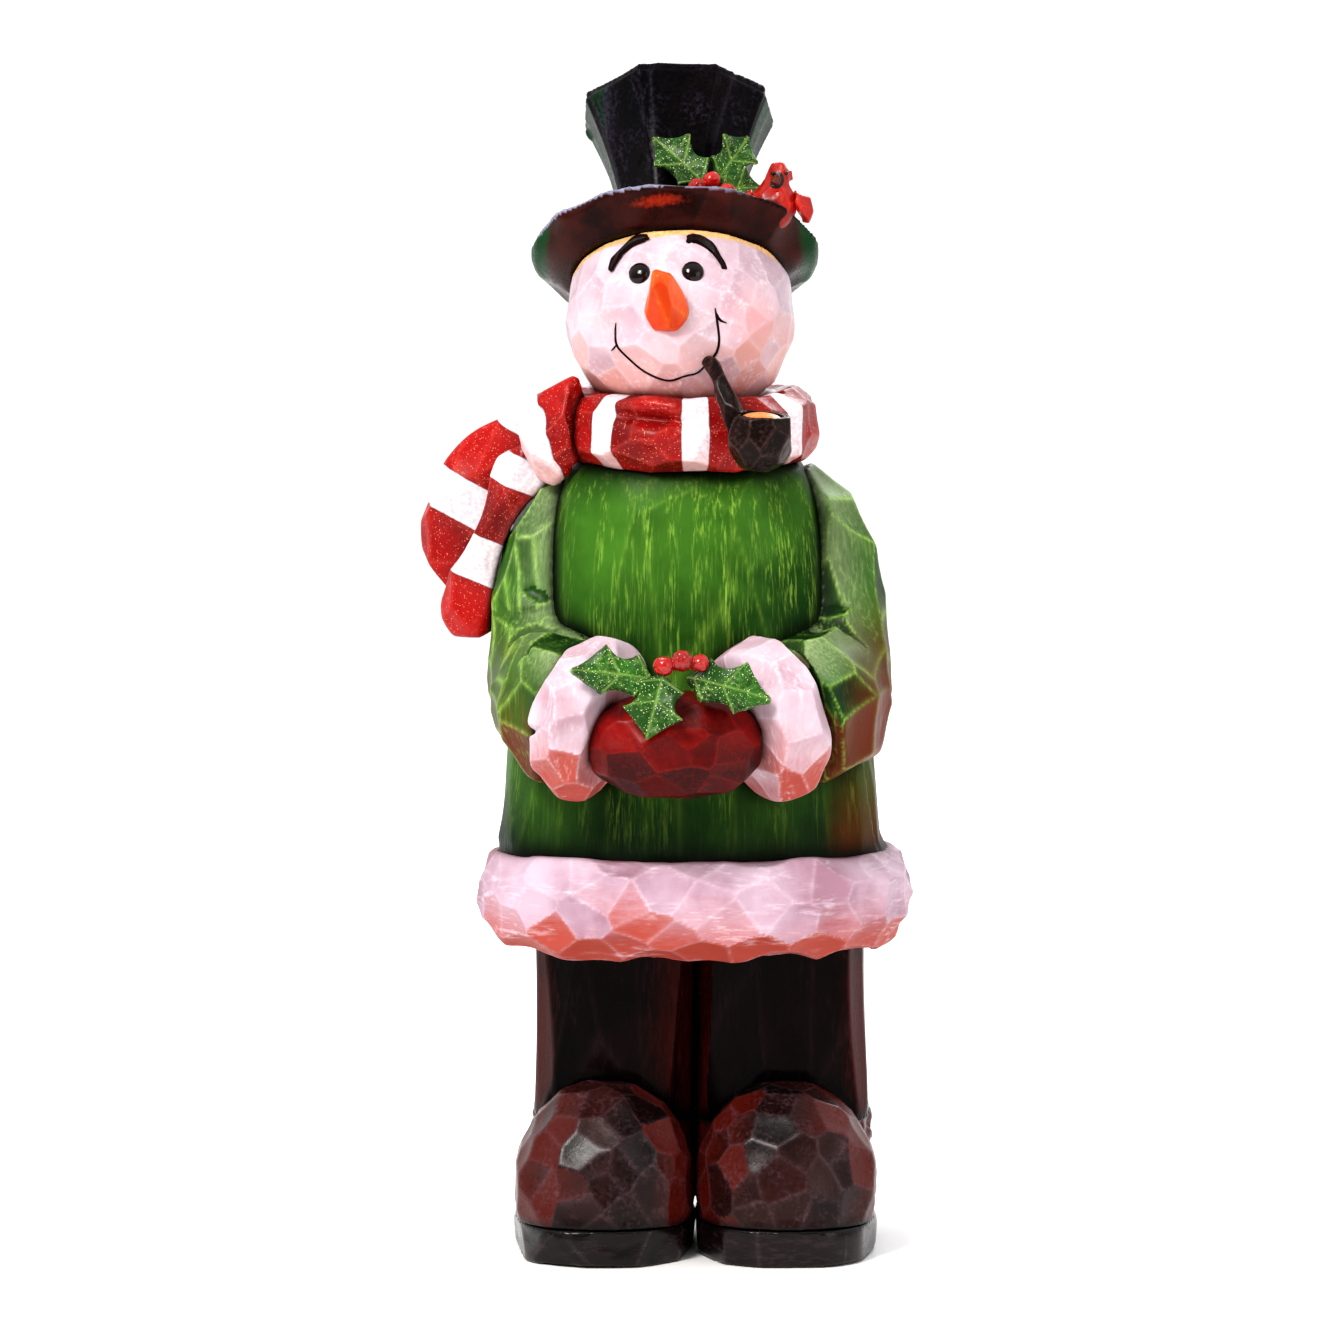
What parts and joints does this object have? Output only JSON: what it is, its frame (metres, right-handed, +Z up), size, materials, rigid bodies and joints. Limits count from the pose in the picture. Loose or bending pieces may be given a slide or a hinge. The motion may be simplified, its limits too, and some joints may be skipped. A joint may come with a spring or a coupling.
{
  "type": "snowman porch figure",
  "caption": "Standing carved and painted wooden snowman figure with top hat, scarf, coat, boots, pipe and clasped mittens.",
  "frame": {"origin": "centre of the bottom of the figure's bounding box, on the floor", "axes": "+Z up; the face looks along -Y; +X is to the right as seen from the front"},
  "size_m": [0.368, 0.3344, 0.8828],
  "materials": {
    "hat_paint": "near-black painted and antiqued carved wood, satin varnish",
    "head_paint": "white painted carved wood, worn to a warm tan at the edges",
    "nose_paint": "orange painted wood, satin varnish",
    "gloss_black": "polished black glass-like dome",
    "brow_paint": "black painted carved ridge",
    "pipe_paint": "dark brown-black painted wood, gloss varnish",
    "tobacco_paint": "orange-brown painted wood",
    "scarf_paint": "red glitter paint with white cross stripes on carved wood",
    "coat_paint": "green paint with lighter dry-brushed strokes, satin varnish",
    "trim_paint": "white dry-brushed over salmon-brown on carved facets",
    "mitten_paint": "deep red painted carved wood, satin varnish",
    "holly_paint": "green glitter paint",
    "berry_paint": "red gloss paint",
    "bird_paint": "red painted wood, gloss varnish",
    "beak_paint": "dark yellow painted wood",
    "boot_paint": "brown-black painted carved wood, gloss varnish",
    "bare_wood": "bare turned hardwood",
    "screw_steel": "plain steel"
  },
  "bodies": {
    "root": {"coat_body": "coat_paint", "left_sleeve": "coat_paint", "right_sleeve": "coat_paint", "head": "head_paint", "hat_brim": "hat_paint", "hat_crown": "hat_paint", "hat_holly_leaf_left": "holly_paint", "hat_holly_leaf_right": "holly_paint", "hat_holly_leaf_low": "holly_paint", "hat_berries": "berry_paint", "bird_body": "bird_paint", "bird_left_wing": "bird_paint", "bird_right_wing": "bird_paint", "bird_tail": "bird_paint", "bird_beak": "beak_paint", "bird_eyes": "gloss_black", "nose": "nose_paint", "left_eye": "gloss_black", "right_eye": "gloss_black", "left_brow": "brow_paint", "right_brow": "brow_paint", "hand_holly_leaf_left": "holly_paint", "hand_holly_leaf_centre": "holly_paint", "hand_holly_leaf_right": "holly_paint", "hand_berries": "berry_paint", "left_cuff": "trim_paint", "right_cuff": "trim_paint", "clasped_mittens": "mitten_paint", "scarf_wrap": "scarf_paint", "scarf_knot": "scarf_paint", "scarf_tail_front": "scarf_paint", "scarf_tail_back": "scarf_paint", "pipe_bowl": "pipe_paint", "pipe_stem": "pipe_paint", "pipe_tobacco": "tobacco_paint", "hem_trim": "trim_paint", "left_leg": "boot_paint", "right_leg": "boot_paint", "left_boot": "boot_paint", "right_boot": "boot_paint", "left_sole": "boot_paint", "right_sole": "boot_paint", "sole_screws": "screw_steel", "neck_dowel": "bare_wood", "hat_dowel": "bare_wood", "nose_peg": "bare_wood", "pipe_pin": "bare_wood", "arm_dowels": "bare_wood", "leg_dowels": "bare_wood"}
  },
  "joints": []
}
